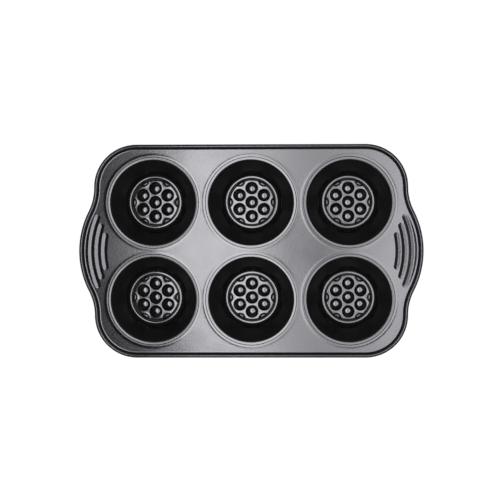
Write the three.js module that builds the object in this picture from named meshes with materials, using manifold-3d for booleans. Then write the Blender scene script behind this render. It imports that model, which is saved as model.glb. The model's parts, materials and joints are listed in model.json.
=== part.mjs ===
// Six-cup muffin pan of coated steel sheet, with honeycomb cup floors and two wing handles.
// Millimetres, +Z up, +X along the length, origin on the table under the middle of the pan.
import * as THREE from 'three';
import { mergeVertices } from 'three/addons/utils/BufferGeometryUtils.js';
import Module from 'manifold-3d';

// Outline of the pan over the curled edge
const PAN_LENGTH = 343.3;
const PAN_WIDTH = 212.8;
const BODY_LENGTH = 312.6;
const CORNER_RADIUS = 42.5;
const HANDLE_RADIUS = 87.5;
const HANDLE_STEPS = 3;
const WAIST_STEPS = 4;
const CORNER_STEPS = 8;

// Tray sheet and its turned-up edge, curled round a wire
const DECK_TOP = 38;
const SHEET = 0.6;
const RIM_HEIGHT = 4;
const RIM_SLOPE = THREE.MathUtils.degToRad(65);
const RIM_FOOT_RADIUS = 1.5;
const CURL_RADIUS = 1.85;
const CURL_TURN = THREE.MathUtils.degToRad(280);
const CURL_STEPS = 5;
const DECK_INSET = 6.3;
const WIRE_RADIUS = 0.95;
const WIRE_SIDES = 6;
const WIRE_HEIGHT = DECK_TOP + RIM_HEIGHT - CURL_RADIUS;

// Grip grooves pressed into each handle, from the outer one inwards
const GROOVES = [
  { reach: 160.8, span: 75.4 },
  { reach: 154.1, span: 57.2 },
  { reach: 147.55, span: 38 },
];
const GROOVE_CENTRE = 72;
const GROOVE_WIDTH = 6;
const GROOVE_DEPTH = 0.9;
const GROOVE_SIDES = 8;
const GROOVE_STEPS = 4;
const GROOVE_END_STEPS = 2;

// Cups: pattern, neck and tapered wall
const CUP_PITCH_X = 97.9;
const CUP_PITCH_Y = 97;
const CUP_SHEET = 0.6;
const CUP_SEGMENTS = 24;
const NECK_RADIUS = 42.4;
const HOLE_RADIUS = 43.2;
const WALL_TOP_RADIUS = 42.1;
const WALL_TOP_DROP = 3;

// Locking bead rolled out of the neck just under the deck
const BEAD_REACH = 1;
const BEAD_DROP = 1.9;
const BEAD_START_DROP = 1;

// Low lip with two rings, as radius and rise above the deck
const LIP_SECTION = [
  [48, 0.15],
  [47.8, 0.65],
  [46.8, 0.75],
  [45.5, 0.6],
  [44.3, 0.75],
  [42.9, 0.55],
  [NECK_RADIUS, 0.1],
];

// Rounded foot, flat standing ring and raised pedestal of the cup floor
const FOOT_CORNER = 29.5;
const FOOT_RADIUS = 4;
const PEDESTAL_FOOT = 24.9;
const PEDESTAL_EDGE = 21.6;
const PEDESTAL_HEIGHT = 0.95;

// Honeycomb of round domes on the pedestal
const CELL_PITCH = 14.3;
const DOME_RADIUS = 6.4;
const DOME_HEIGHT = 2.5;
const DOME_SEGMENTS = 8;

const wasm = await Module();
wasm.setup();

// Closed three.js geometry as a solid that can be joined and cut
function solidFrom(geometry) {
  const bare = geometry.clone();
  bare.deleteAttribute('normal');
  bare.deleteAttribute('uv');
  const merged = mergeVertices(bare, 1e-4);
  const mesh = new wasm.Mesh({
    numProp: 3,
    vertProperties: new Float32Array(merged.attributes.position.array),
    triVerts: new Uint32Array(merged.index.array),
  });
  return new wasm.Manifold(mesh);
}

function geometryFrom(solid) {
  const mesh = solid.getMesh();
  const geometry = new THREE.BufferGeometry();
  geometry.setAttribute('position', new THREE.BufferAttribute(mesh.vertProperties, 3));
  geometry.setIndex(new THREE.BufferAttribute(mesh.triVerts, 1));
  return geometry;
}

// Points along an arc, both ends included
function arc(x, y, radius, from, to, steps) {
  const points = [];
  for (let i = 0; i <= steps; i += 1) {
    const angle = from + ((to - from) * i) / steps;
    points.push(new THREE.Vector2(x + radius * Math.cos(angle), y + radius * Math.sin(angle)));
  }
  return points;
}

// Profile of (radius, height) points turned round the Z axis
function turned(profile, segments) {
  const geometry = new THREE.LatheGeometry(profile, segments);
  geometry.rotateX(Math.PI / 2);
  return solidFrom(geometry);
}

const vectors = (pairs) => pairs.map(([x, y]) => new THREE.Vector2(x, y));

// Outline set in by a distance: handle arc, hollow waist arc and corner arc, mirrored into four quarters
function outline(inset) {
  const handleX = PAN_LENGTH / 2 - HANDLE_RADIUS;
  const waistY = PAN_WIDTH / 2 - CORNER_RADIUS;
  const cornerX = BODY_LENGTH / 2 - CORNER_RADIUS;
  const reach = BODY_LENGTH / 2 - handleX;
  const waistRadius = (reach ** 2 + waistY ** 2 - HANDLE_RADIUS ** 2) / (2 * (HANDLE_RADIUS - reach));
  const waistX = BODY_LENGTH / 2 + waistRadius;
  const meet = Math.atan2(waistY, waistX - handleX);
  const quarter = [
    ...arc(handleX, 0, HANDLE_RADIUS - inset, 0, meet, HANDLE_STEPS),
    ...arc(waistX, waistY, waistRadius + inset, Math.PI + meet, Math.PI, WAIST_STEPS).slice(1),
    ...arc(cornerX, waistY, CORNER_RADIUS - inset, 0, Math.PI / 2, CORNER_STEPS).slice(1),
  ];
  const mirrored = (sx, sy) => quarter.map((p) => new THREE.Vector2(p.x * sx, p.y * sy));
  return [
    ...quarter,
    ...mirrored(-1, 1).reverse(),
    ...mirrored(-1, -1).slice(1),
    ...mirrored(1, -1).reverse().slice(0, -1),
  ];
}

// Closed section of (inset, height) points carried once round the outline
function sweepRound(section) {
  const rings = section.map((s) => outline(s.x).map((p) => new THREE.Vector3(p.x, p.y, s.y)));
  const count = rings[0].length;
  const index = [];
  rings.forEach((ring, j) => {
    const here = j * count;
    const next = ((j + 1) % rings.length) * count;
    ring.forEach((point, i) => {
      const k = (i + 1) % count;
      index.push(here + i, next + k, here + k, here + i, next + i, next + k);
    });
  });
  const geometry = new THREE.BufferGeometry().setFromPoints(rings.flat());
  geometry.setIndex(index);
  return geometry;
}

// One face of the edge sheet, from the deck up the slope and round the curl; side is +1 above, -1 below
function edgeFace(side) {
  const half = SHEET / 2;
  const curl = CURL_RADIUS - half;
  const sin = Math.sin(RIM_SLOPE);
  const cos = Math.cos(RIM_SLOPE);
  const deck = DECK_TOP - half;
  const slopeTop = new THREE.Vector2(CURL_RADIUS + curl * sin, WIRE_HEIGHT + curl * cos);
  const slopeRise = slopeTop.y - (deck + RIM_FOOT_RADIUS * (1 - cos));
  const footX = slopeTop.x + (slopeRise * cos) / sin + RIM_FOOT_RADIUS * sin;
  const footY = deck + RIM_FOOT_RADIUS;
  const faceFoot = RIM_FOOT_RADIUS - side * half;
  const start = Math.PI / 2 - RIM_SLOPE;
  return [
    new THREE.Vector2(DECK_INSET, deck + side * half),
    new THREE.Vector2(footX, footY - faceFoot),
    new THREE.Vector2(footX - faceFoot * sin, footY - faceFoot * cos),
    ...arc(CURL_RADIUS, WIRE_HEIGHT, curl + side * half, start, start + CURL_TURN, CURL_STEPS),
  ];
}

// Deck with its six punched holes, flush with the inner edge of the swept rim
function deckPlate(places) {
  const shape = new THREE.Shape(outline(DECK_INSET));
  places.forEach(({ x, y }) => {
    const circle = arc(x, y, HOLE_RADIUS, 0, 2 * Math.PI, CUP_SEGMENTS).slice(0, -1);
    shape.holes.push(new THREE.Path(circle));
  });
  const plate = new THREE.ExtrudeGeometry(shape, { depth: SHEET, bevelEnabled: false });
  plate.translate(0, 0, DECK_TOP - SHEET);
  return plate;
}

// Round-ended bar bent along one grip groove of the handle at the given turn about Z
function grooveBar({ reach, span }, radius, height, turn) {
  const bend = reach - GROOVE_CENTRE;
  const length = 2 * bend * Math.asin((span - GROOVE_WIDTH) / (2 * bend));
  const bar = new THREE.CapsuleGeometry(radius, length, GROOVE_END_STEPS, GROOVE_SIDES, GROOVE_STEPS);
  bar.rotateY(Math.PI / GROOVE_SIDES);
  const position = bar.attributes.position;
  for (let i = 0; i < position.count; i += 1) {
    const angle = position.getY(i) / bend;
    const out = bend + position.getX(i);
    const x = GROOVE_CENTRE + out * Math.cos(angle);
    position.setXYZ(i, x, out * Math.sin(angle), height + position.getZ(i));
  }
  bar.rotateZ(turn);
  return solidFrom(bar);
}

// Swept edge and punched deck in one sheet, with the grip grooves pressed down through it
function buildTray(places) {
  const edge = [...edgeFace(1), ...edgeFace(-1).reverse()];
  let tray = solidFrom(sweepRound(edge)).add(solidFrom(deckPlate(places)));
  const radius = ((GROOVE_WIDTH / 2) ** 2 + GROOVE_DEPTH ** 2) / (2 * GROOVE_DEPTH);
  const height = DECK_TOP - GROOVE_DEPTH + radius;
  const below = new THREE.BoxGeometry(PAN_LENGTH, PAN_WIDTH, DECK_TOP);
  below.translate(0, 0, DECK_TOP / 2 - SHEET / 2);
  const underDeck = solidFrom(below);
  [0, Math.PI].forEach((turn) => {
    GROOVES.forEach((groove) => {
      tray = tray.add(grooveBar(groove, radius + SHEET, height, turn).intersect(underDeck));
    });
    GROOVES.forEach((groove) => {
      tray = tray.subtract(grooveBar(groove, radius, height, turn));
    });
  });
  return geometryFrom(tray);
}

function buildWire() {
  const section = arc(CURL_RADIUS, WIRE_HEIGHT, WIRE_RADIUS, 0, 2 * Math.PI, WIRE_SIDES);
  return sweepRound(section.slice(0, -1));
}

// Half section of a cup's sheet, from under the floor out to the lip and back down the inside
function cupProfile() {
  const wallHeight = DECK_TOP - WALL_TOP_DROP - CUP_SHEET;
  const taper = Math.atan2(WALL_TOP_RADIUS - FOOT_CORNER, wallHeight);
  const footTurn = Math.PI / 2 - taper;
  const footX = FOOT_CORNER - FOOT_RADIUS * Math.tan(footTurn / 2);
  const footArc = (radius) => arc(footX, CUP_SHEET + FOOT_RADIUS, radius, -Math.PI / 2, -taper, 2);
  const pedestalSlope = Math.atan2(PEDESTAL_HEIGHT, PEDESTAL_FOOT - PEDESTAL_EDGE);
  const lean = CUP_SHEET * Math.tan(pedestalSlope / 2);
  const neckOut = NECK_RADIUS + CUP_SHEET;
  const lip = LIP_SECTION.map(([r, rise]) => [r, DECK_TOP + rise]);
  return [
    ...vectors([
      [0, PEDESTAL_HEIGHT],
      [PEDESTAL_EDGE - lean, PEDESTAL_HEIGHT],
      [PEDESTAL_FOOT - lean, 0],
    ]),
    ...footArc(FOOT_RADIUS + CUP_SHEET),
    ...vectors([
      [WALL_TOP_RADIUS + CUP_SHEET / Math.cos(taper), DECK_TOP - WALL_TOP_DROP],
      [neckOut + BEAD_REACH, DECK_TOP - BEAD_DROP],
      [neckOut, DECK_TOP - BEAD_START_DROP],
      [neckOut, lip[0][1]],
      ...lip,
      [NECK_RADIUS, DECK_TOP - BEAD_START_DROP],
      [NECK_RADIUS + BEAD_REACH, DECK_TOP - BEAD_DROP],
      [WALL_TOP_RADIUS, DECK_TOP - WALL_TOP_DROP],
    ]),
    ...footArc(FOOT_RADIUS).reverse(),
    ...vectors([
      [PEDESTAL_FOOT, CUP_SHEET],
      [PEDESTAL_EDGE, CUP_SHEET + PEDESTAL_HEIGHT],
      [0, CUP_SHEET + PEDESTAL_HEIGHT],
    ]),
  ];
}

// Cap of a ball that stands on the height z, with a skirt that runs down below it
function domeCap(ball, rise, skirt, z) {
  const base = Math.sqrt(ball ** 2 - (ball - rise) ** 2);
  const middle = base * Math.SQRT1_2;
  const middleRise = Math.sqrt(ball ** 2 - middle ** 2) - (ball - rise);
  const profile = [[0, z - skirt], [base, z - skirt], [base, z], [middle, z + middleRise], [0, z + rise]];
  return turned(vectors(profile), DOME_SEGMENTS);
}

// Places of six honeycomb cells at one distance from the cup's axis
function cellRing(distance, firstAngle) {
  return [0, 1, 2, 3, 4, 5].map((i) => {
    const angle = firstAngle + (i * Math.PI) / 3;
    return [distance * Math.cos(angle), distance * Math.sin(angle), 0];
  });
}

// Drawn cup with seven whole domes, and part domes where the pedestal cuts the outer six cells
function buildCup() {
  const face = CUP_SHEET + PEDESTAL_HEIGHT;
  const ball = (DOME_RADIUS ** 2 + DOME_HEIGHT ** 2) / (2 * DOME_HEIGHT);
  const dome = domeCap(ball, DOME_HEIGHT, CUP_SHEET / 2, face);
  const hollow = domeCap(ball - CUP_SHEET, DOME_HEIGHT, CUP_SHEET, PEDESTAL_HEIGHT);
  const coneLean = (DOME_HEIGHT * (PEDESTAL_FOOT - PEDESTAL_EDGE)) / PEDESTAL_HEIGHT;
  const cone = turned(vectors([
    [0, PEDESTAL_HEIGHT],
    [PEDESTAL_EDGE, PEDESTAL_HEIGHT],
    [PEDESTAL_EDGE, face],
    [PEDESTAL_EDGE - coneLean, face + DOME_HEIGHT],
    [0, face + DOME_HEIGHT],
  ]), CUP_SEGMENTS);
  const wholeCells = [[0, 0, 0], ...cellRing(CELL_PITCH, Math.PI / 6)];
  const cutCells = cellRing(CELL_PITCH * Math.sqrt(3), 0);
  let cup = turned(cupProfile(), CUP_SEGMENTS);
  wholeCells.forEach((cell) => {
    cup = cup.add(dome.translate(cell));
  });
  cutCells.forEach((cell) => {
    cup = cup.add(dome.translate(cell).intersect(cone));
  });
  wholeCells.forEach((cell) => {
    cup = cup.subtract(hollow.translate(cell));
  });
  return geometryFrom(cup);
}

// Two rows of three cups; the back row is towards +Y
const cupPlaces = [];
[['back', 1], ['front', -1]].forEach(([row, sy]) => {
  [['left', -1], ['middle', 0], ['right', 1]].forEach(([column, sx]) => {
    cupPlaces.push({ name: `cup_${row}_${column}`, x: sx * CUP_PITCH_X, y: (sy * CUP_PITCH_Y) / 2 });
  });
});

const group = new THREE.Group();

function addPiece(name, geometry, material) {
  const mesh = new THREE.Mesh(geometry, material);
  mesh.name = name;
  group.add(mesh);
  return mesh;
}

const coating = () => new THREE.MeshStandardMaterial({ color: 0x2b2c2e, roughness: 0.35, metalness: 0.3 });
const wireSteel = new THREE.MeshStandardMaterial({ color: 0x8d9094, roughness: 0.4, metalness: 1 });

addPiece('tray_plate', buildTray(cupPlaces), coating());
addPiece('rim_wire', buildWire(), wireSteel);
const cupGeometry = buildCup();
cupPlaces.forEach(({ name, x, y }) => {
  addPiece(name, cupGeometry.clone(), coating()).position.set(x, y, 0);
});

export default group;
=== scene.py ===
# Six-cup honeycomb muffin pan: pressed tray with a wired edge, and six drawn cups locked into it.
import json
import math

import bmesh
import bpy
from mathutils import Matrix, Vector, kdtree

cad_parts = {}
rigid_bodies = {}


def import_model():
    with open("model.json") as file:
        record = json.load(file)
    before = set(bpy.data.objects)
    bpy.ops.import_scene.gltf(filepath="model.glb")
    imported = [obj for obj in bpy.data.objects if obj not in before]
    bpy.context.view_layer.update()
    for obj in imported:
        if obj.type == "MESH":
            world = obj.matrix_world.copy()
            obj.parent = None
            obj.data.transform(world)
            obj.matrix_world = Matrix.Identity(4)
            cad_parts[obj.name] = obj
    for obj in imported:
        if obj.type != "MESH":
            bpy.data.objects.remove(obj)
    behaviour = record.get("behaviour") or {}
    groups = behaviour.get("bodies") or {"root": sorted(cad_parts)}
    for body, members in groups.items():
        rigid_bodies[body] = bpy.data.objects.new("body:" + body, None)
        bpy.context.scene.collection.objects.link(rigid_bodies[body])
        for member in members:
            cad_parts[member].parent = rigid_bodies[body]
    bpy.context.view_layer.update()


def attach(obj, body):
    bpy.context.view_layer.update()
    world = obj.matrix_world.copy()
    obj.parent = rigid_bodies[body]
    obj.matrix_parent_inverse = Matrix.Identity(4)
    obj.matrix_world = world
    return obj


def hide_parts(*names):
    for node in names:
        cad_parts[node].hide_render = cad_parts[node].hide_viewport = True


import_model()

MM = 0.001

# Outline of the pan over the curled edge, in millimetres
PAN_LENGTH = 343.3
PAN_WIDTH = 212.8
BODY_LENGTH = 312.6
CORNER_RADIUS = 42.5
HANDLE_RADIUS = 87.5
HANDLE_STEPS = 14
WAIST_STEPS = 14
CORNER_STEPS = 26

# Tray sheet and its turned-up edge
DECK_TOP = 38.0
DECK_INSET = 5.95
TRAY_SHEET = 0.6
RIM_HEIGHT = 4.0
RIM_SLOPE = math.radians(64)
RIM_FOOT_TURN = math.radians(12)
RIM_FOOT_SOFT = 3.6
RIM_FOOT_TIGHT = 0.6
RIM_FOOT_STEPS = 6

# Curl of the edge, round but for its straight outer flank, and the wire inside it
CURL_MIDDLE = 1.85
CURL_RADIUS = 1.8
CURL_TURN = math.radians(280)
CURL_FLANK = math.radians(31)
CURL_CORNER = 0.65
CURL_TOP_STEPS = 12
CURL_CORNER_STEPS = 7
CURL_UNDER_STEPS = 10
WIRE_RADIUS = 0.9
WIRE_HEIGHT = DECK_TOP + RIM_HEIGHT - CURL_MIDDLE
WIRE_SIDES = 12
WIRE_CREASE = math.radians(40)

# Grip grooves of a handle, from the outer one inwards, with their reach from the middle of the pan
GROOVES = (
    {"reach": 160.55, "span": 75.4, "crest": 2.5, "rise": 0.25, "depth": 0.32, "swell": 2.2},
    {"reach": 153.85, "span": 57.2, "crest": 2.65, "rise": 0.15, "depth": 0.41, "swell": 0.0},
    {"reach": 147.3, "span": 38.0, "crest": 2.65, "rise": 0.15, "depth": 0.41, "swell": 0.0},
)
GROOVE_CENTRE = 72.0
GROOVE_PAN_SIDE = -3.6
GROOVE_RIM_SIDE = 2.8
GROOVE_BRIM = 0.02
GROOVE_EASE = 0.1
GROOVE_EASE_DROP = 0.01
GROOVE_CREST_ROUND = 0.7
GROOVE_BOTTOM = -0.6
GROOVE_BOTTOM_WIDTH = 0.12
GROOVE_CLIMB = (0.0, 0.25, 0.5, 0.75)
GROOVE_FALL = (0.0, 0.05, 0.1, 0.16, 0.23, 0.35, 0.5, 0.65, 0.8, 0.9, 0.96, 1.0)
GROOVE_STEPS = 40
GROOVE_END_STEPS = 20
GROOVE_FADE_STEPS = 12

# Cups in the tray, with a shallow seat and a slight collar round each hole
CUP_PITCH_X = 97.9
CUP_PITCH_Y = 97.0
CUP_SHEET = 0.6
CUP_SEGMENTS = 192
CUP_PLACES = {
    f"cup_{row}_{column}": (sx * CUP_PITCH_X, sy * CUP_PITCH_Y / 2)
    for row, sy in (("back", 1), ("front", -1))
    for column, sx in (("left", -1), ("middle", 0), ("right", 1))
}
NEIGHBOUR_REACH = 1.2 * CUP_PITCH_X
HOLE_RADIUS = 43.2
SEAT_RADIUS = 48.42
SEAT_DEPTH = 0.55
SEAT_WALL = 0.035
SEAT_EDGE = ((0.02, 0.0), (0.03, 0.02))
COLLAR_RADIUS = 50.0
COLLAR_RISE = 0.045
COLLAR_RUN = 1.2
COLLAR_CLEAR = 0.05
COLLAR_GAP = 0.03
COLLAR_STEPS = (0.0, 0.25, 0.5, 0.75, 1.0)

# Lip as radius and rise over the deck: two rings that fall towards the cup, a fine groove between them
LIP_SECTION = (
    (48.33, -0.3), (48.33, 0.024), (48.315, 0.038), (47.9, 0.062), (47.6, 0.0735), (47.3, 0.078),
    (47.0, 0.079), (46.6, 0.075), (46.2, 0.068), (45.84, 0.0605), (45.76, 0.05), (45.64, -0.01),
    (45.52, -0.04), (45.4, -0.01), (45.28, 0.046), (45.18, 0.052), (44.8, 0.0435), (44.3, 0.0275),
    (43.8, 0.0085), (43.4, -0.0075), (43.2, -0.016), (43.08, -0.03), (42.98, -0.05), (42.86, -0.1),
    (42.76, -0.16), (42.66, -0.26), (42.58, -0.42), (42.52, -0.7),
)

# Neck and the locking bead rolled out of it, as radius and drop under the deck
BEAD_SECTION = (
    (42.5, 0.85), (42.58, 1.05), (42.9, 1.3), (43.25, 1.6),
    (43.4, 1.95), (43.25, 2.3), (42.8, 2.6), (42.35, 2.85),
)

# Tapered wall, rounded foot, standing ring and pedestal of a cup
WALL_TOP_RADIUS = 42.1
WALL_TOP_HEIGHT = 35.0
WALL_TOP_EASE = 0.2
WALL_STEPS = 6
FOOT_CORNER = 29.5
FOOT_SLOPE = math.radians(40)
FOOT_ROUND = 4.0
FOOT_ROUND_STEPS = 5
FOOT_RADIUS = 2.6
FOOT_STEPS = 6
STAND_OUTER = 25.85
STAND_INNER = 25.4
PEDESTAL_SLOPE = math.radians(28)
PEDESTAL_ROOT = 5.0
PEDESTAL_ROOT_STEPS = 9
PEDESTAL_ROUND = 3.0
PEDESTAL_ROUND_STEPS = 8
PEDESTAL_EDGE = STAND_INNER - (PEDESTAL_ROOT + PEDESTAL_ROUND) * math.sin(PEDESTAL_SLOPE)
WEB_HEIGHT = CUP_SHEET + (PEDESTAL_ROOT + PEDESTAL_ROUND) * (1 - math.cos(PEDESTAL_SLOPE))

# Honeycomb of seven whole domes, and six cells that the pedestal's edge cuts through
CELL_PITCH = 14.3
DOME_HEIGHT = 2.5
DOME_CROWN_RADIUS = 20.0
DOME_CROWN_REACH = 3.4
DOME_CROWN_SHARES = (0.75, 0.5, 0.25)
DOME_SHOULDER_RADIUS = 3.5
DOME_SHOULDER_STEPS = 7
DOME_FLANK = math.radians(62)
DOME_ROOT_RADIUS = 0.5
DOME_ROOT_STEPS = 5
DOME_BRIM = 0.08
DOME_SEGMENTS = 48
WEB_CURVE_RADIUS = 5.0
WEB_CURVE_TURN = math.radians(9)
WEB_CURVE_STEPS = 5
CUT_CELL_REACH = CELL_PITCH * math.sqrt(3)
CUT_CELL_RADIUS = 6.0
CUT_CELL_RISE = 0.85
CUT_CELL_SOFT = 2.4
CUT_CELL_FADE = 2.8
CUT_CELL_STEPS = 7
CUT_CELL_SLACK = 0.3
CUT_CELL_CUTS = 11

# Meshing: creases sharper than this stay sharp, points closer than this are one
CREASE_ANGLE = math.radians(28)
WELD = 1e-6

# Non-stick coatings in linear colours, with the depth of their orange peel in millimetres
TRAY_COATING = {
    "dark": (0.005, 0.0052, 0.008),
    "light": (0.009, 0.0093, 0.013),
    "smooth": 0.14,
    "rough": 0.18,
    "peel_scale": 620,
    "peel_depth": 0.028,
}
CUP_COATING = {
    "dark": (0.0035, 0.0035, 0.0037),
    "light": (0.006, 0.006, 0.0063),
    "smooth": 0.08,
    "rough": 0.11,
    "peel_scale": 900,
    "peel_depth": 0.0072,
    "wall_dullness": 0.35,
}
COATING_IOR = 1.46
COATING_GRAIN_SCALE = 1400
COATING_GRAIN_BAND = (0.35, 0.65)
COATING_PATCH_SCALE = 38
DULL_FROM = (3.5, 7.0)
DULL_TO = (35.5, 37.2)

# Bare drawn wire
WIRE_DARK = (0.3, 0.31, 0.32)
WIRE_LIGHT = (0.46, 0.47, 0.48)
WIRE_GLOSS = (0.3, 0.45)
WIRE_STREAK_SCALE = 420

# Camera almost straight above the pan, in metres and degrees
CAMERA_LENS = 118.55
CAMERA_PLACE = (0.0431, 0.0609, 1.6787)
CAMERA_TURN = (-2.09, 1.534, -0.156)

# Softbox over the pan, in metres; each ramp is its start and end and the share of light at both
SOFTBOX_SIZE = 0.73
SOFTBOX_PLACE = (0.0803, -0.0301, 1.1248)
SOFTBOX_COLOUR = (0.95, 0.95, 1.0)
SOFTBOX_RADIANCE = 10.2
SOFTBOX_TURN = math.radians(36)
SOFTBOX_SHIFT = (0.0181, -0.0079)
SOFTBOX_HALF_SIDE = 0.277
SOFTBOX_EDGE = 0.014
SOFTBOX_ROUND = 0.4
SOFTBOX_CUT = (-0.285, -0.245, 0.0, 1.0)
SOFTBOX_MIDDLE = (0.0354, 0.0648, 0.4, 1.0)
SOFTBOX_LEFT = (-0.153, 0.0, 1.75, 0.65)
SOFTBOX_RIGHT = (0.0236, 0.118, 0.0, 0.6)
WING_START = (-0.345, -0.31, 0.0, 0.52)
WING_END = (-0.25, -0.2, 1.0, 0.0)
WING_SIDES = (0.08, 0.12, 1.0, 0.0)

# Room and floor; the walls' ramp runs over the upward share of a direction
ROOM_LIGHT = 0.03
ROOM_WALLS = (0.0, 0.95, 1.0, 0.0)
FLOOR_SIZE = 14
FLOOR_HEIGHT = -0.0004
FLOOR_SHADE = (0.2, 0.2, 0.2, 1)
FLOOR_GLOW = (0.95, 0.95, 0.95, 1)


def arc(x, y, radius, start, end, steps):
    """Points along an arc, both ends included."""
    points = []
    for i in range(steps + 1):
        angle = start + (end - start) * i / steps
        points.append((x + radius * math.cos(angle), y + radius * math.sin(angle)))
    return points


def circle(x, y, radius, steps):
    """Points round a whole circle."""
    return arc(x, y, radius, 0, 2 * math.pi, steps)[:-1]


def soft_step(value):
    """Smooth step from 0 to 1."""
    value = min(max(value, 0.0), 1.0)
    return value * value * (3 - 2 * value)


def at_height(points, z):
    """Flat points in millimetres as places in metres at one height."""
    return [Vector((x * MM, y * MM, z * MM)) for x, y in points]


def pan_outline(inset):
    """Outline of the pan set in by a distance, always with the same number of points."""
    handle_x = PAN_LENGTH / 2 - HANDLE_RADIUS
    waist_y = PAN_WIDTH / 2 - CORNER_RADIUS
    corner_x = BODY_LENGTH / 2 - CORNER_RADIUS
    reach = BODY_LENGTH / 2 - handle_x
    waist_radius = (reach**2 + waist_y**2 - HANDLE_RADIUS**2) / (2 * (HANDLE_RADIUS - reach))
    waist_x = BODY_LENGTH / 2 + waist_radius
    meet = math.atan2(waist_y, waist_x - handle_x)
    quarter = arc(handle_x, 0, HANDLE_RADIUS - inset, 0, meet, HANDLE_STEPS)
    quarter += arc(waist_x, waist_y, waist_radius + inset, math.pi + meet, math.pi, WAIST_STEPS)[1:]
    quarter += arc(corner_x, waist_y, CORNER_RADIUS - inset, 0, math.pi / 2, CORNER_STEPS)[1:]
    half = quarter + [(-x, y) for x, y in reversed(quarter)]
    return half + [(x, -y) for x, y in reversed(half[1:-1])]


def start_loop(name, points):
    """New object of one closed loop of edges, left in edit mode with the loop selected."""
    bpy.ops.object.select_all(action="DESELECT")
    bpy.ops.mesh.primitive_circle_add(vertices=len(points), radius=0.1, location=(0, 0, 0))
    piece = bpy.context.object
    piece.name = name
    piece.data.name = name
    for vertex, point in zip(piece.data.vertices, points):
        vertex.co = point
    bpy.ops.object.mode_set(mode="EDIT")
    bpy.ops.mesh.select_mode(type="EDGE")
    bpy.ops.mesh.select_all(action="SELECT")
    return piece


def add_loop(piece, points):
    """One more closed loop in the piece that is being edited, left selected by itself."""
    bpy.ops.mesh.select_all(action="DESELECT")
    bpy.ops.mesh.primitive_circle_add(vertices=len(points), radius=0.1, location=(0, 0, 0))
    mesh = bmesh.from_edit_mesh(piece.data)
    loop = [vertex for vertex in mesh.verts if vertex.select]
    for vertex, point in zip(loop, points):
        vertex.co = point
    bmesh.update_edit_mesh(piece.data)


def pull_loop(piece, old, new):
    """Extrude the selected loop and set each new point where the next loop wants it."""
    bpy.ops.mesh.extrude_edges_move()
    finder = kdtree.KDTree(len(old))
    for i, point in enumerate(old):
        finder.insert(point, i)
    finder.balance()
    mesh = bmesh.from_edit_mesh(piece.data)
    for vertex in mesh.verts:
        if vertex.select:
            vertex.co = new[finder.find(vertex.co)[1]]
    bmesh.update_edit_mesh(piece.data)


def pull_loops(piece, loops):
    """Draw the selected loop on through all the others."""
    for old, new in zip(loops, loops[1:]):
        pull_loop(piece, old, new)


def select_edges(piece, wanted):
    """Select only the edges that pass a test."""
    bpy.ops.mesh.select_all(action="DESELECT")
    mesh = bmesh.from_edit_mesh(piece.data)
    for edge in mesh.edges:
        edge.select_set(wanted(edge))
    bmesh.update_edit_mesh(piece.data)


def fill_flat(piece, height):
    """Fill the flat sheet between all open edges at one height."""
    def is_open(edge):
        level = all(abs(vertex.co.z - height * MM) < WELD for vertex in edge.verts)
        return level and len(edge.link_faces) < 2

    select_edges(piece, is_open)
    bpy.ops.mesh.fill(use_beauty=True)


def face_up(piece):
    """Merge doubles and turn all faces of an open sheet so that its broad faces look up."""
    bpy.ops.mesh.select_all(action="SELECT")
    bpy.ops.mesh.remove_doubles(threshold=WELD)
    bpy.ops.mesh.normals_make_consistent(inside=False)
    mesh = bmesh.from_edit_mesh(piece.data)
    mesh.faces.ensure_lookup_table()
    if sum(face.normal.z * face.calc_area() for face in mesh.faces) < 0:
        bpy.ops.mesh.flip_normals()


def finish_sheet(piece, thickness):
    """Give an open sheet its metal thickness on the under side, and smooth it up to its creases."""
    bpy.ops.object.mode_set(mode="OBJECT")
    wall = piece.modifiers.new("sheet", "SOLIDIFY")
    wall.thickness = thickness * MM
    wall.offset = -1
    wall.use_quality_normals = True
    bpy.ops.object.modifier_apply(modifier=wall.name)
    bpy.ops.object.shade_smooth_by_angle(angle=CREASE_ANGLE)


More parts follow.
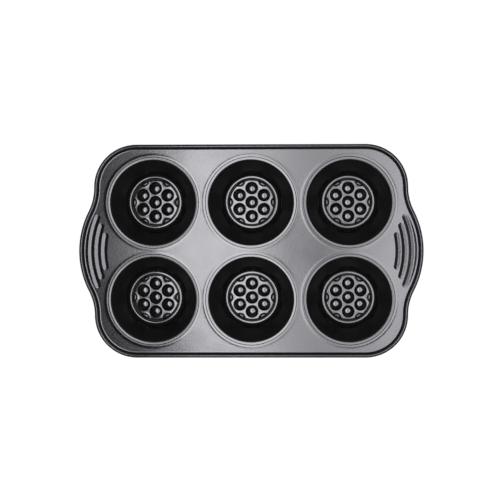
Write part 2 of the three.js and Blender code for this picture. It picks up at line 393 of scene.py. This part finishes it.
def edge_section():
    """Top face of the edge sheet as (inset, height), from the deck up the slope and round the curl."""
    slope_top_x = CURL_MIDDLE + CURL_RADIUS * math.sin(RIM_SLOPE)
    slope_top_z = WIRE_HEIGHT + CURL_RADIUS * math.cos(RIM_SLOPE)
    soft_x = RIM_FOOT_SOFT * math.sin(RIM_FOOT_TURN)
    soft_z = RIM_FOOT_SOFT * (1 - math.cos(RIM_FOOT_TURN))
    tight_x = RIM_FOOT_TIGHT * (math.sin(RIM_SLOPE) - math.sin(RIM_FOOT_TURN))
    tight_z = RIM_FOOT_TIGHT * (math.cos(RIM_FOOT_TURN) - math.cos(RIM_SLOPE))
    slope_x = (slope_top_z - DECK_TOP - soft_z - tight_z) / math.tan(RIM_SLOPE)
    foot_x = slope_top_x + slope_x + tight_x + soft_x
    tight_middle_x = foot_x - soft_x + RIM_FOOT_TIGHT * math.sin(RIM_FOOT_TURN)
    tight_middle_z = DECK_TOP + soft_z + RIM_FOOT_TIGHT * math.cos(RIM_FOOT_TURN)
    down = -math.pi / 2
    soft_end = down - RIM_FOOT_TURN
    tight_end = down - RIM_SLOPE
    soft_foot = arc(foot_x, DECK_TOP + RIM_FOOT_SOFT, RIM_FOOT_SOFT, down, soft_end, RIM_FOOT_STEPS)
    tight_foot = arc(tight_middle_x, tight_middle_z, RIM_FOOT_TIGHT, soft_end, tight_end, RIM_FOOT_STEPS)
    # The curl is round but for its outer shoulder, which runs straight down to a tighter corner
    start = math.pi / 2 - RIM_SLOPE
    flank = math.pi / 2 + CURL_FLANK
    flank_x = CURL_MIDDLE + CURL_RADIUS * math.cos(flank)
    flank_z = WIRE_HEIGHT + CURL_RADIUS * math.sin(flank)
    corner_x = CURL_MIDDLE - CURL_RADIUS + CURL_CORNER
    run = flank_x - corner_x - CURL_CORNER * math.cos(flank)
    corner_z = flank_z - run * math.tan(CURL_FLANK) - CURL_CORNER * math.sin(flank)
    section = [(DECK_INSET, DECK_TOP)]
    section += soft_foot
    section += tight_foot[1:]
    section += arc(CURL_MIDDLE, WIRE_HEIGHT, CURL_RADIUS, start, flank, CURL_TOP_STEPS)
    section += arc(corner_x, corner_z, CURL_CORNER, flank, math.pi, CURL_CORNER_STEPS)
    section += arc(CURL_MIDDLE, WIRE_HEIGHT, CURL_RADIUS, math.pi, start + CURL_TURN, CURL_UNDER_STEPS)
    return section


def groove_loop(reach, span, pan_side, rim_side, shorter, pan_z, rim_z, swell):
    """Round-ended loop in a bent grip groove, between two distances from its middle line."""
    bend = reach - GROOVE_CENTRE + (pan_side + rim_side) / 2
    width = (rim_side - pan_side) / 2
    half = (span / 2 - shorter - width) / bend
    end_x = GROOVE_CENTRE + bend * math.cos(half)
    end_y = bend * math.sin(half)
    points = []
    for i in range(GROOVE_STEPS):
        share = 2 * i / GROOVE_STEPS - 1
        outer = bend + width + swell * (1 - share * share)
        angle = half * share
        points.append((GROOVE_CENTRE + outer * math.cos(angle), outer * math.sin(angle)))
    points += arc(end_x, end_y, width, half, half + math.pi, GROOVE_END_STEPS)[:-1]
    points += arc(GROOVE_CENTRE, 0, bend - width, half, -half, GROOVE_STEPS)[:-1]
    points += arc(end_x, -end_y, width, math.pi - half, 2 * math.pi - half, GROOVE_END_STEPS)[:-1]
    # The height changes from the edge side's to the pan side's round both ends
    fade = []
    for i in range(GROOVE_END_STEPS):
        fade.append(rim_z + (pan_z - rim_z) * soft_step(i / GROOVE_FADE_STEPS))
    heights = [rim_z] * GROOVE_STEPS + fade + [pan_z] * GROOVE_STEPS + [pan_z] + fade[:0:-1]
    return [Vector((x * MM, y * MM, (DECK_TOP + z) * MM)) for (x, y), z in zip(points, heights)]


def groove_section(crest, rise, depth, swell):
    """Steps down a grip groove, each with what groove_loop takes after the reach and the span."""
    pan_side = GROOVE_PAN_SIDE
    rim_side = GROOVE_RIM_SIDE
    section = [(pan_side - GROOVE_BRIM, rim_side + GROOVE_BRIM, -GROOVE_BRIM, 0.0, 0.0, swell)]
    for share in GROOVE_CLIMB:
        ease = GROOVE_EASE * share
        rim = rim_side + (crest - rim_side) * share
        pan_z = -GROOVE_EASE_DROP * share
        section.append((pan_side + ease, rim, ease, pan_z, rise * share, swell * (1 - share)))
    # Sides are straight below the round crest, and the steps bunch up at the bottom to keep it crisp
    width = crest - GROOVE_BOTTOM - GROOVE_BOTTOM_WIDTH
    steepness = (rise + depth) / (width - GROOVE_CREST_ROUND / 2)
    inward = GROOVE_BOTTOM - pan_side - GROOVE_EASE
    for share in GROOVE_FALL:
        fall = width * share
        if fall < GROOVE_CREST_ROUND:
            drop = steepness * fall**2 / (2 * GROOVE_CREST_ROUND)
        else:
            drop = steepness * (fall - GROOVE_CREST_ROUND / 2)
        pan = pan_side + GROOVE_EASE + inward * share
        shorter = GROOVE_EASE + inward * share
        pan_z = -GROOVE_EASE_DROP - (depth - GROOVE_EASE_DROP) * share
        section.append((pan, crest - fall, shorter, pan_z, rise - drop, 0.0))
    return section


def press_grooves(tray):
    """Grip grooves of the right handle, then the same ones turned round to the left handle."""
    for groove in GROOVES:
        section = groove_section(groove["crest"], groove["rise"], groove["depth"], groove["swell"])
        loops = [groove_loop(groove["reach"], groove["span"], *step) for step in section]
        add_loop(tray, loops[0])
        pull_loops(tray, loops)
        bpy.ops.mesh.fill()
    bpy.ops.mesh.select_all(action="DESELECT")
    mesh = bmesh.from_edit_mesh(tray.data)
    below_deck = (DECK_TOP - GROOVE_EASE) * MM
    for face in mesh.faces:
        face.select_set(face.calc_center_median().z < below_deck)
    bmesh.update_edit_mesh(tray.data)
    bpy.ops.mesh.select_linked()
    bpy.ops.mesh.duplicate()
    bpy.ops.transform.rotate(value=math.pi, orient_axis="Z", center_override=(0, 0, 0))


def collar_reach(x, y):
    """Directions round one cup's place, with the collar's radius and rise, clear of its neighbours."""
    sides = []
    for other_x, other_y in CUP_PLACES.values():
        gap = math.hypot(other_x - x, other_y - y)
        if 0 < gap < NEIGHBOUR_REACH:
            sides.append(((other_x - x) / gap, (other_y - y) / gap, gap / 2 - COLLAR_GAP))
    collar = []
    for i in range(CUP_SEGMENTS):
        angle = 2 * math.pi * i / CUP_SEGMENTS
        away = (math.cos(angle), math.sin(angle))
        radius = COLLAR_RADIUS
        for side_x, side_y, limit in sides:
            facing = away[0] * side_x + away[1] * side_y
            if facing > 0.5:
                radius = min(radius, limit / facing)
        rise = COLLAR_RISE * soft_step((radius - SEAT_RADIUS - COLLAR_CLEAR) / COLLAR_RUN)
        collar.append((away, radius, rise))
    return collar


def seat_loops(x, y):
    """Loops round one cup's place, from the flat deck over its collar down into its seat and hole."""
    collar = collar_reach(x, y)
    # Each step is a share of the way in, a share of the rise, a further inset and a drop
    steps = [(share, share**2, 0.0, 0.0) for share in COLLAR_STEPS]
    steps += [(1.0, 1.0, inset, drop) for inset, drop in SEAT_EDGE]
    steps += [(1.0, 0.0, inset, SEAT_DEPTH) for inset in (SEAT_WALL, SEAT_RADIUS - HOLE_RADIUS)]
    loops = []
    for share, climb, inset, drop in steps:
        loop = []
        for away, radius, rise in collar:
            reach = radius + (SEAT_RADIUS - radius) * share - inset
            height = DECK_TOP + rise * climb - drop
            loop.append(Vector(((x + away[0] * reach) * MM, (y + away[1] * reach) * MM, height * MM)))
        loops.append(loop)
    return loops


def make_tray():
    """Pressed sheet: the edge first, then the grooves, the seats with their holes and the flat deck."""
    rings = [at_height(pan_outline(inset), z) for inset, z in edge_section()]
    tray = start_loop("tray_sheet", rings[0])
    pull_loops(tray, rings)
    press_grooves(tray)
    for x, y in CUP_PLACES.values():
        loops = seat_loops(x, y)
        add_loop(tray, loops[0])
        pull_loops(tray, loops)
    fill_flat(tray, DECK_TOP)
    face_up(tray)
    finish_sheet(tray, TRAY_SHEET)
    return tray


def make_wire():
    """Closed loop of wire inside the curl."""
    section = circle(CURL_MIDDLE, WIRE_HEIGHT, WIRE_RADIUS, WIRE_SIDES)
    rings = [at_height(pan_outline(inset), z) for inset, z in section]
    wire = start_loop("edge_wire", rings[0])
    pull_loops(wire, rings)
    select_edges(wire, lambda edge: len(edge.link_faces) < 2)
    bpy.ops.mesh.bridge_edge_loops()
    bpy.ops.mesh.select_all(action="SELECT")
    bpy.ops.mesh.normals_make_consistent(inside=False)
    bpy.ops.object.mode_set(mode="OBJECT")
    bpy.ops.object.shade_smooth_by_angle(angle=WIRE_CREASE)
    return wire


def foot_section():
    """Rounded foot of a cup as (radius, height), from the end of the wall to the standing ring."""
    taper = math.atan2(WALL_TOP_RADIUS - FOOT_CORNER, WALL_TOP_HEIGHT - CUP_SHEET)
    down = -math.pi / 2
    slope = down + FOOT_SLOPE
    corner_x = STAND_OUTER + FOOT_RADIUS * math.tan(FOOT_SLOPE / 2)
    rise = math.tan(FOOT_SLOPE)
    meet_x = (FOOT_CORNER - rise * corner_x * math.tan(taper)) / (1 - rise * math.tan(taper))
    meet_z = CUP_SHEET + rise * (meet_x - corner_x)
    back = FOOT_ROUND * math.tan((math.pi / 2 - taper - FOOT_SLOPE) / 2)
    round_x = meet_x + back * math.sin(taper) - FOOT_ROUND * math.cos(taper)
    round_z = meet_z + back * math.cos(taper) + FOOT_ROUND * math.sin(taper)
    foot = arc(round_x, round_z, FOOT_ROUND, -taper, slope, FOOT_ROUND_STEPS)
    foot += arc(STAND_OUTER, CUP_SHEET + FOOT_RADIUS, FOOT_RADIUS, slope, down, FOOT_STEPS)
    return foot


def cup_section():
    """Food side of a cup as (radius, height), from the lip's outer edge to the top of the pedestal."""
    foot = foot_section()
    foot_x, foot_z = foot[0]
    section = [(radius, DECK_TOP + rise) for radius, rise in LIP_SECTION]
    section += [(radius, DECK_TOP - drop) for radius, drop in BEAD_SECTION]
    section.append((WALL_TOP_RADIUS, WALL_TOP_HEIGHT - WALL_TOP_EASE))
    for i in range(1, WALL_STEPS):
        share = i / WALL_STEPS
        radius = WALL_TOP_RADIUS + (foot_x - WALL_TOP_RADIUS) * share
        section.append((radius, WALL_TOP_HEIGHT + (foot_z - WALL_TOP_HEIGHT) * share))
    section += foot
    up = math.pi / 2
    slope = PEDESTAL_SLOPE
    root_z = CUP_SHEET + PEDESTAL_ROOT
    round_z = WEB_HEIGHT - PEDESTAL_ROUND
    section += arc(STAND_INNER, root_z, PEDESTAL_ROOT, -up, -up - slope, PEDESTAL_ROOT_STEPS)
    section += arc(PEDESTAL_EDGE, round_z, PEDESTAL_ROUND, up - slope, up, PEDESTAL_ROUND_STEPS)[1:]
    return section


def dome_section():
    """Honeycomb dome as (radius, rise over the web), from the flat web to near its crown."""
    crown = math.asin(DOME_CROWN_REACH / DOME_CROWN_RADIUS)
    reach = DOME_CROWN_REACH - DOME_SHOULDER_RADIUS * math.sin(crown)
    crown_drop = (DOME_CROWN_RADIUS - DOME_SHOULDER_RADIUS) * (1 - math.cos(crown))
    height = DOME_HEIGHT - crown_drop - DOME_SHOULDER_RADIUS
    up = math.pi / 2
    flank = up - DOME_FLANK
    shoulder = arc(reach, height, DOME_SHOULDER_RADIUS, flank, up - crown, DOME_SHOULDER_STEPS)
    turn = WEB_CURVE_TURN
    web_rise = WEB_CURVE_RADIUS * (1 - math.cos(turn))
    root_rise = DOME_ROOT_RADIUS * (math.cos(turn) - math.cos(DOME_FLANK))
    flank_x = shoulder[0][0] + (shoulder[0][1] - web_rise - root_rise) / math.tan(DOME_FLANK)
    root_x = flank_x + DOME_ROOT_RADIUS * math.sin(DOME_FLANK)
    root_z = web_rise + DOME_ROOT_RADIUS * math.cos(turn)
    web_x = root_x + (WEB_CURVE_RADIUS - DOME_ROOT_RADIUS) * math.sin(turn)
    section = [(web_x + DOME_BRIM, 0.0)]
    section += arc(web_x, WEB_CURVE_RADIUS, WEB_CURVE_RADIUS, -up, -up - turn, WEB_CURVE_STEPS)
    section += arc(root_x, root_z, DOME_ROOT_RADIUS, -up - turn, -up - DOME_FLANK, DOME_ROOT_STEPS)[1:]
    section += shoulder
    for share in DOME_CROWN_SHARES:
        angle = crown * share
        drop = DOME_CROWN_RADIUS * (1 - math.cos(angle))
        section.append((DOME_CROWN_RADIUS * math.sin(angle), DOME_HEIGHT - drop))
    return section


def off_cell(vertex):
    """Angle of a point from the nearest cut cell, seen from the middle of the cup."""
    angle = math.atan2(vertex.co.y, vertex.co.x)
    return angle - round(angle / (math.pi / 3)) * math.pi / 3


def cut_cell_rise(x, y):
    """Rise of a honeycomb cell that the pedestal's edge cuts through."""
    turn = round(math.atan2(y, x) / (math.pi / 3)) * math.pi / 3
    gap = math.hypot(x - CUT_CELL_REACH * math.cos(turn), y - CUT_CELL_REACH * math.sin(turn))
    inside = soft_step((CUT_CELL_RADIUS - gap) / CUT_CELL_SOFT)
    outside = 1 - soft_step((math.hypot(x, y) - PEDESTAL_EDGE) / CUT_CELL_FADE)
    return CUT_CELL_RISE * inside * outside


def draw_in_cut_cells(cup):
    """Extrude the pedestal's rim at each cut cell and bend the new edge to the cell's inner outline."""
    web = WEB_HEIGHT * MM
    rim = PEDESTAL_EDGE * MM
    step = 2 * math.pi / CUP_SEGMENTS
    half_width = CUT_CELL_STEPS * step
    widest = (CUT_CELL_STEPS + CUT_CELL_SLACK) * step

    def is_cell_rim(edge):
        on_rim = all(abs(v.co.xy.length - rim) < WELD and abs(v.co.z - web) < WELD for v in edge.verts)
        return on_rim and all(abs(off_cell(v)) < widest for v in edge.verts)

    select_edges(cup, is_cell_rim)
    bpy.ops.mesh.extrude_edges_move()
    corner = Vector((PEDESTAL_EDGE * math.cos(half_width), PEDESTAL_EDGE * math.sin(half_width)))
    wide = math.atan2(corner.y, CUT_CELL_REACH - corner.x)
    inner = (corner - Vector((CUT_CELL_REACH, 0))).length
    mesh = bmesh.from_edit_mesh(cup.data)
    for vertex in mesh.verts:
        if not vertex.select:
            continue
        off = off_cell(vertex)
        turn = math.atan2(vertex.co.y, vertex.co.x) - off
        share = off / half_width
        sweep = share * wide
        radius = inner + (CUT_CELL_RADIUS - inner) * (1 - share**2)
        x = CUT_CELL_REACH - radius * math.cos(sweep)
        y = radius * math.sin(sweep)
        vertex.co.x = (x * math.cos(turn) - y * math.sin(turn)) * MM
        vertex.co.y = (x * math.sin(turn) + y * math.cos(turn)) * MM
    bmesh.update_edit_mesh(cup.data)


def raise_cut_cells(cup):
    """Six part domes at the pedestal's edge, drawn in from its rim, cut across and pulled up."""
    draw_in_cut_cells(cup)
    # Rungs between the rim and the new inner edge are cut across, so that the crest can be pulled up
    mesh = bmesh.from_edit_mesh(cup.data)
    inner_edge = {vertex for vertex in mesh.verts if vertex.select}
    rungs = [edge for edge in mesh.edges if len(inner_edge.intersection(edge.verts)) == 1]
    for edge in mesh.edges:
        edge.select = False
    for edge in rungs:
        edge.select_set(True)
    bmesh.update_edit_mesh(cup.data)
    bpy.ops.mesh.subdivide(number_cuts=CUT_CELL_CUTS)
    mesh = bmesh.from_edit_mesh(cup.data)
    for vertex in mesh.verts:
        if vertex.co.z < WEB_HEIGHT * MM + WELD and vertex.co.xy.length < STAND_INNER * MM:
            vertex.co.z += cut_cell_rise(vertex.co.x / MM, vertex.co.y / MM) * MM
    bmesh.update_edit_mesh(cup.data)
    bpy.ops.mesh.select_all(action="SELECT")
    bpy.ops.mesh.remove_doubles(threshold=WELD)


def raise_domes(cup):
    """Seven whole honeycomb domes, each drawn up ring by ring from its loop on the web."""
    cells = [(0.0, 0.0)] + arc(0, 0, CELL_PITCH, math.pi / 6, math.pi / 6 + 2 * math.pi, 6)[:-1]
    section = dome_section()
    for x, y in cells:
        loops = []
        for radius, rise in section:
            loops.append(at_height(circle(x, y, radius, DOME_SEGMENTS), WEB_HEIGHT + rise))
        add_loop(cup, loops[0])
        pull_loops(cup, loops)
        bpy.ops.mesh.extrude_edges_move()
        bpy.ops.mesh.merge(type="CENTER")
        mesh = bmesh.from_edit_mesh(cup.data)
        for vertex in mesh.verts:
            if vertex.select:
                vertex.co.z = (WEB_HEIGHT + DOME_HEIGHT) * MM
        bmesh.update_edit_mesh(cup.data)


def make_cup():
    """Drawn cup round the origin: lip, neck, bead, wall, foot and honeycomb floor in one sheet."""
    section = cup_section()
    lip_edge, lip_z = section[0]
    cup = start_loop("cup", at_height(circle(0, 0, lip_edge, CUP_SEGMENTS), lip_z))
    for (old_radius, old_z), (radius, z) in zip(section, section[1:]):
        lift = (0, 0, (z - old_z) * MM)
        grow = radius / old_radius
        bpy.ops.mesh.extrude_edges_move(TRANSFORM_OT_translate={"value": lift})
        bpy.ops.transform.resize(value=(grow, grow, 1), center_override=(0, 0, z * MM))
    raise_cut_cells(cup)
    raise_domes(cup)
    fill_flat(cup, WEB_HEIGHT)
    face_up(cup)
    finish_sheet(cup, CUP_SHEET)
    return cup


def pick(piece):
    """Make a piece the only selected one, and the active one."""
    bpy.ops.object.select_all(action="DESELECT")
    piece.select_set(True)
    bpy.context.view_layer.objects.active = piece


def seat_cups(cup):
    """The finished cup copied into each of the six holes, every copy with its own mesh in place."""
    cups = {}
    for name, (x, y) in CUP_PLACES.items():
        pick(cup)
        bpy.ops.object.duplicate()
        copy = bpy.context.object
        copy.name = name.replace("cup_", "drawn_cup_")
        copy.data.name = copy.name
        copy.location = (x * MM, y * MM, 0)
        bpy.ops.object.transform_apply(location=True, rotation=False, scale=False)
        cups[name] = copy
    pick(cup)
    bpy.ops.object.delete()
    return cups


def maths(tree, operation, *values):
    """Math node fed by sockets and plain numbers."""
    node = tree.nodes.new("ShaderNodeMath")
    node.operation = operation
    for socket, value in zip(node.inputs, values):
        if isinstance(value, (int, float)):
            socket.default_value = value
        else:
            tree.links.new(value, socket)
    return node.outputs["Value"]


def ramp(tree, value, start, end, at_start, at_end, kind="SMOOTHSTEP"):
    """Value carried over from one range to another, and held at both ends."""
    node = tree.nodes.new("ShaderNodeMapRange")
    node.interpolation_type = kind
    for socket, number in zip(node.inputs, (0, start, end, at_start, at_end)):
        socket.default_value = number
    tree.links.new(value, node.inputs["Value"])
    return node.outputs["Result"]


def split(tree, vector):
    """Node with a vector's X, Y and Z."""
    node = tree.nodes.new("ShaderNodeSeparateXYZ")
    tree.links.new(vector, node.inputs["Vector"])
    return node.outputs


def new_material(name):
    """Material with its node tree, its shader and the piece's own coordinates."""
    material = bpy.data.materials.new(name)
    material.use_nodes = True
    tree = material.node_tree
    shader = tree.nodes["Principled BSDF"]
    place = tree.nodes.new("ShaderNodeTexCoord").outputs["Object"]
    return material, tree, shader, place


def noise(tree, place, scale, detail):
    """Noise texture over the piece."""
    node = tree.nodes.new("ShaderNodeTexNoise")
    node.inputs["Scale"].default_value = scale
    node.inputs["Detail"].default_value = detail
    tree.links.new(place, node.inputs["Vector"])
    return node.outputs["Fac"]


def spread(tree, source, low, high):
    """Map a noise's middle band to a range of values."""
    return ramp(tree, source, 0.3, 0.7, low, high, "LINEAR")


def tint(tree, source, dark, light, band=(0.0, 1.0)):
    """Colour between two tints, by a noise."""
    node = tree.nodes.new("ShaderNodeValToRGB")
    for i, colour in enumerate((dark, light)):
        node.color_ramp.elements[i].position = band[i]
        node.color_ramp.elements[i].color = (*colour, 1)
    tree.links.new(source, node.inputs["Fac"])
    return node.outputs["Color"]


def dull_wall(tree, place, gloss, dullness):
    """More roughness on the drawn wall, between the cup's foot and its lip."""
    height = split(tree, place)["Z"]
    above_foot = ramp(tree, height, DULL_FROM[0] * MM, DULL_FROM[1] * MM, 0.0, dullness)
    below_lip = ramp(tree, height, DULL_TO[0] * MM, DULL_TO[1] * MM, 1.0, 0.0)
    return maths(tree, "MULTIPLY_ADD", above_foot, below_lip, gloss)


def nonstick_coating(name, dark, light, smooth, rough, peel_scale, peel_depth, wall_dullness=0.0):
    """Charcoal non-stick: fine sprayed grain, slow patches of gloss, slight orange peel."""
    material, tree, shader, place = new_material(name)
    grain = noise(tree, place, COATING_GRAIN_SCALE, 3)
    colour = tint(tree, grain, dark, light, COATING_GRAIN_BAND)
    tree.links.new(colour, shader.inputs["Base Color"])
    gloss = spread(tree, noise(tree, place, COATING_PATCH_SCALE, 2), smooth, rough)
    if wall_dullness:
        gloss = dull_wall(tree, place, gloss, wall_dullness)
    tree.links.new(gloss, shader.inputs["Roughness"])
    bump = tree.nodes.new("ShaderNodeBump")
    bump.inputs["Strength"].default_value = 1.0
    bump.inputs["Distance"].default_value = peel_depth * MM
    tree.links.new(noise(tree, place, peel_scale, 2), bump.inputs["Height"])
    tree.links.new(bump.outputs["Normal"], shader.inputs["Normal"])
    shader.inputs["IOR"].default_value = COATING_IOR
    return material


def drawn_wire_steel():
    """Bare drawn wire: fine streaks and small dull patches."""
    material, tree, shader, place = new_material("drawn_wire_steel")
    streaks = noise(tree, place, WIRE_STREAK_SCALE, 4)
    tree.links.new(tint(tree, streaks, WIRE_DARK, WIRE_LIGHT), shader.inputs["Base Color"])
    tree.links.new(spread(tree, streaks, *WIRE_GLOSS), shader.inputs["Roughness"])
    shader.inputs["Metallic"].default_value = 1.0
    return material


def ray_kinds(tree):
    """Camera rays, and the rays that a mirror or a clear body sends on."""
    rays = tree.nodes.new("ShaderNodeLightPath").outputs
    mirrored = maths(tree, "MAXIMUM", rays["Is Glossy Ray"], rays["Is Transmission Ray"])
    return rays["Is Camera Ray"], mirrored


def pale_floor():
    """Plain white sweep under the pan; it shows white to the camera and still takes the pan's shadow."""
    bpy.ops.object.select_all(action="DESELECT")
    bpy.ops.mesh.primitive_plane_add(size=FLOOR_SIZE, location=(0, 0, FLOOR_HEIGHT))
    floor = bpy.context.object
    floor.name = "floor"
    material, tree, shader, _ = new_material("white_sweep")
    shader.inputs["Base Color"].default_value = FLOOR_SHADE
    shader.inputs["Roughness"].default_value = 0.9
    shader.inputs["Specular IOR Level"].default_value = 0.1
    glow = tree.nodes.new("ShaderNodeEmission")
    glow.inputs["Color"].default_value = FLOOR_GLOW
    tree.links.new(maths(tree, "MAXIMUM", *ray_kinds(tree)), glow.inputs["Strength"])
    both = tree.nodes.new("ShaderNodeAddShader")
    tree.links.new(shader.outputs["BSDF"], both.inputs[0])
    tree.links.new(glow.outputs["Emission"], both.inputs[1])
    tree.links.new(both.outputs["Shader"], tree.nodes["Material Output"].inputs["Surface"])
    floor.data.materials.append(material)


def overhead_camera():
    """Long lens almost straight above the pan."""
    lens = bpy.data.cameras.new("overhead_camera")
    lens.sensor_width = 36
    lens.lens = CAMERA_LENS
    lens.clip_start = 0.05
    lens.clip_end = 50
    camera = bpy.data.objects.new("overhead_camera", lens)
    camera.location = CAMERA_PLACE
    camera.rotation_euler = [math.radians(angle) for angle in CAMERA_TURN]
    bpy.context.scene.collection.objects.link(camera)
    bpy.context.scene.camera = camera


def softbox_cloth(panel):
    """Lit cloth: a turned square with round corners, dim beyond a cut across its left one."""
    panel.use_nodes = True
    tree = panel.node_tree

    def total(first, second):
        return maths(tree, "ADD", first, second)

    def product(first, second):
        return maths(tree, "MULTIPLY", first, second)

    def length(first, second):
        return maths(tree, "SQRT", total(product(first, first), product(second, second)))

    face = tree.nodes.new("ShaderNodeNewGeometry")
    across = split(tree, face.outputs["Parametric"])
    x = product(maths(tree, "SUBTRACT", across["X"], 0.5), SOFTBOX_SIZE)
    y = product(maths(tree, "SUBTRACT", across["Y"], 0.5), SOFTBOX_SIZE)
    side_x = total(x, SOFTBOX_SHIFT[0])
    side_y = total(y, SOFTBOX_SHIFT[1])
    cos = math.cos(SOFTBOX_TURN)
    sin = math.sin(SOFTBOX_TURN)
    u = total(product(side_x, cos), product(side_y, sin))
    v = maths(tree, "SUBTRACT", product(side_y, cos), product(side_x, sin))
    square = maths(tree, "MAXIMUM", maths(tree, "ABSOLUTE", u), maths(tree, "ABSOLUTE", v))
    rounded = total(product(square, 1 - SOFTBOX_ROUND), product(length(u, v), SOFTBOX_ROUND))
    inside = SOFTBOX_HALF_SIDE - SOFTBOX_EDGE
    outside = SOFTBOX_HALF_SIDE + SOFTBOX_EDGE
    outline = product(ramp(tree, rounded, inside, outside, 1, 0), ramp(tree, x, *SOFTBOX_CUT))
    middle = ramp(tree, length(x, y), *SOFTBOX_MIDDLE)
    sides = total(ramp(tree, x, *SOFTBOX_LEFT), ramp(tree, x, *SOFTBOX_RIGHT))
    body = product(outline, product(middle, sides))
    wing_length = product(ramp(tree, x, *WING_START), ramp(tree, x, *WING_END))
    wing = product(wing_length, ramp(tree, maths(tree, "ABSOLUTE", y), *WING_SIDES))
    strength = maths(tree, "MAXIMUM", body, wing)
    tree.links.new(strength, tree.nodes["Emission"].inputs["Strength"])


def studio_light():
    """One shaped softbox over the pan, facing straight down."""
    panel = bpy.data.lights.new("softbox", "AREA")
    panel.shape = "SQUARE"
    panel.size = SOFTBOX_SIZE
    panel.color = SOFTBOX_COLOUR
    panel.energy = SOFTBOX_RADIANCE * math.pi * SOFTBOX_SIZE * SOFTBOX_SIZE
    softbox_cloth(panel)
    lamp = bpy.data.objects.new("softbox", panel)
    lamp.location = SOFTBOX_PLACE
    bpy.context.scene.collection.objects.link(lamp)


def studio_room():
    """Dim room whose pale walls show in reflections, white where the camera looks past the floor."""
    world = bpy.data.worlds.new("studio_room")
    world.use_nodes = True
    tree = world.node_tree
    room = tree.nodes["Background"]
    room.inputs["Color"].default_value = (1, 1, 1, 1)
    direction = tree.nodes.new("ShaderNodeTexCoord").outputs["Generated"]
    walls = ramp(tree, split(tree, direction)["Z"], *ROOM_WALLS)
    camera, mirrored = ray_kinds(tree)
    seen = maths(tree, "MAXIMUM", maths(tree, "MULTIPLY", mirrored, walls), camera)
    tree.links.new(maths(tree, "ADD", seen, ROOM_LIGHT), room.inputs["Strength"])
    bpy.context.scene.world = world


tray_finish = nonstick_coating("tray_coating", **TRAY_COATING)
cup_finish = nonstick_coating("cup_coating", **CUP_COATING)
wire_finish = drawn_wire_steel()

tray_piece = make_tray()
wire_piece = make_wire()
cup_pieces = seat_cups(make_cup())

tray_piece.data.materials.append(tray_finish)
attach(tray_piece, "root")
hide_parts("tray_plate")
wire_piece.data.materials.append(wire_finish)
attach(wire_piece, "root")
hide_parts("rim_wire")
for node, piece in cup_pieces.items():
    piece.data.materials.append(cup_finish)
    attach(piece, "root")
    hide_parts(node)

pale_floor()
overhead_camera()
studio_light()
studio_room()
bpy.context.scene.view_settings.view_transform = "Standard"
